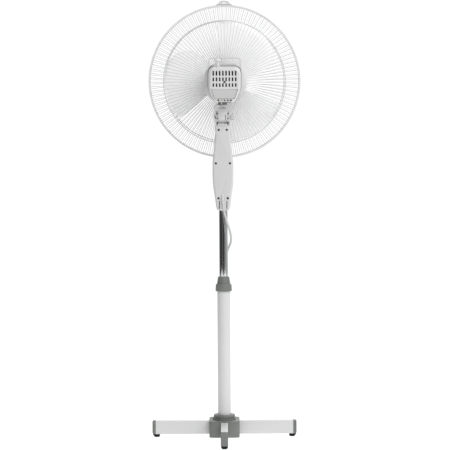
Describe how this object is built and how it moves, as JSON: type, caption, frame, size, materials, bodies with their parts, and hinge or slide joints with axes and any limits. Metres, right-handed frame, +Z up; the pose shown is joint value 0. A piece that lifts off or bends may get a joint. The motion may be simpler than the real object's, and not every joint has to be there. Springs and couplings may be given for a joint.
{
  "type": "pedestal fan",
  "caption": "Oscillating pedestal fan with wire guard, telescopic pole, cross base and push-key control box, jointed for height, tilt, swing, rotor, clamp and keys.",
  "frame": {"origin": "on the floor, under the middle of the fan's box without its cord", "axes": "+Z up, +Y the way the air is blown, +X to the right of someone who stands behind the fan"},
  "size_m": [0.445, 0.411, 1.2558],
  "materials": {
    "white_paint": "white powder coat",
    "guard_wire": "white coated wire",
    "casing": "satin light grey moulding",
    "grey_plastic": "dark grey moulding",
    "black_rubber": "black moulded rubber",
    "black_plastic": "black moulding",
    "chrome": "bright chrome plate",
    "steel": "machined steel",
    "zinc": "zinc-plated strip",
    "cast_aluminium": "die-cast",
    "bronze": "sintered bronze",
    "copper": "enamelled copper wire",
    "nylon": "natural nylon",
    "blade_plastic": "translucent grey moulding",
    "cord_pvc": "white PVC"
  },
  "bodies": {
    "base": {"leg_lateral": "white_paint", "leg_fore_aft": "white_paint", "leg_foot_right": "black_rubber", "leg_foot_front": "black_rubber", "leg_foot_left": "black_rubber", "leg_foot_back": "black_rubber", "hub_cover": "grey_plastic", "hub_ring": "grey_plastic", "base_bolt": "steel", "outer_tube": "white_paint", "collet_sleeve": "grey_plastic", "cord_coil": "cord_pvc", "cord_tube": "cord_pvc", "mains_plug": "cord_pvc"},
    "clamp": {"clamp_nut": "grey_plastic"},
    "stem": {"inner_tube": "chrome", "tube_guide": "black_rubber", "control_box_front": "casing", "control_box_back": "casing", "box_screw_upper_left": "steel", "box_screw_upper_right": "steel", "box_screw_middle_left": "steel", "box_screw_middle_right": "steel", "box_screw_lower_left": "steel", "box_screw_lower_right": "steel", "key_switch": "black_plastic", "run_capacitor": "black_plastic", "cord_gland": "casing", "tilt_fork": "casing", "tilt_bolt": "steel"},
    "key_stop_body": {"key_stop": "grey_plastic"},
    "key_low_body": {"key_low": "grey_plastic"},
    "key_medium_body": {"key_medium": "grey_plastic"},
    "key_high_body": {"key_high": "grey_plastic"},
    "tilt_knob_body": {"tilt_knob": "casing"},
    "neck": {"neck_block": "casing"},
    "link": {"drag_link": "zinc"},
    "head": {"motor_bracket": "cast_aluminium", "motor_stator": "steel", "stator_windings": "copper", "end_bell_front": "cast_aluminium", "end_bell_rear": "cast_aluminium", "bearing_front": "bronze", "bearing_rear": "bronze", "front_housing": "casing", "rear_cover": "casing", "cover_screw": "steel", "rear_guard": "guard_wire", "front_guard": "guard_wire", "rim_ring": "guard_wire", "rim_screw": "steel", "rim_clip": "casing", "guard_nut": "grey_plastic", "centre_badge": "grey_plastic"},
    "pull_knob": {"oscillation_knob": "casing"},
    "wheel": {"worm_wheel": "nylon"},
    "crank": {"crank_gear": "nylon"},
    "rotor": {"rotor_shaft": "steel", "impeller": "blade_plastic", "blade_nut": "grey_plastic"}
  },
  "joints": [
    {"name": "pole_height", "type": "slide", "parent": "base", "child": "stem", "axis": [0, 0, 1], "range_m": [-0.185, 0], "deforming": ["cord_tube"]},
    {"name": "clamp_nut_turn", "type": "hinge", "parent": "base", "child": "clamp", "pos_m": [-0.006, 0, 0.4352], "axis": [0, 0, 1], "range_deg": [0, 120]},
    {"name": "head_tilt", "type": "hinge", "parent": "stem", "child": "neck", "pos_m": [-0.006, 0, 0.911], "axis": [1, 0, 0], "range_deg": [-22, 13]},
    {"name": "tilt_knob_turn", "type": "hinge", "parent": "stem", "child": "tilt_knob_body", "pos_m": [0.0131, 0, 0.911], "axis": [1, 0, 0], "range_deg": [0, 180]},
    {"name": "head_swing", "type": "hinge", "parent": "neck", "child": "head", "pos_m": [-0.006, 0, 0.911], "axis": [0, -0.1219, 0.9925], "range_deg": [-40, 40]},
    {"name": "drag_link_swing", "type": "hinge", "parent": "neck", "child": "link", "pos_m": [-0.0195, -0.02192, 0.94589], "axis": [0, -0.1219, 0.9925], "range_deg": [-47, 47]},
    {"name": "oscillation_pull", "type": "slide", "parent": "head", "child": "pull_knob", "axis": [0, -0.1219, 0.9925], "range_m": [-0.007, 0]},
    {"name": "rotor_spin", "type": "hinge", "parent": "head", "child": "rotor", "pos_m": [0, -0.01213, 1.00976], "axis": [0, 0.9925, 0.1219], "continuous": true},
    {"name": "worm_wheel_spin", "type": "hinge", "parent": "head", "child": "wheel", "pos_m": [-0.0187, -0.09352, 0.99977], "axis": [0, -0.1219, 0.9925], "continuous": true},
    {"name": "crank_gear_spin", "type": "hinge", "parent": "head", "child": "crank", "pos_m": [-0.001, -0.08968, 0.9685], "axis": [0, -0.1219, 0.9925], "continuous": true},
    {"name": "key_stop_press", "type": "slide", "parent": "stem", "child": "key_stop_body", "axis": [0, -1, 0], "range_m": [0, 0.004], "stiffness_N_per_m": 400},
    {"name": "key_low_press", "type": "slide", "parent": "stem", "child": "key_low_body", "axis": [0, -1, 0], "range_m": [0, 0.004], "stiffness_N_per_m": 400},
    {"name": "key_medium_press", "type": "slide", "parent": "stem", "child": "key_medium_body", "axis": [0, -1, 0], "range_m": [0, 0.004], "stiffness_N_per_m": 400},
    {"name": "key_high_press", "type": "slide", "parent": "stem", "child": "key_high_body", "axis": [0, -1, 0], "range_m": [0, 0.004], "stiffness_N_per_m": 400}
  ],
  "couplings": [
    {"joint": "worm_wheel_spin", "follows": "rotor_spin", "ratio": 0.025},
    {"joint": "crank_gear_spin", "follows": "rotor_spin", "ratio": -0.00875},
    {"joint": "drag_link_swing", "follows": "head_swing", "ratio": 1.15}
  ]
}
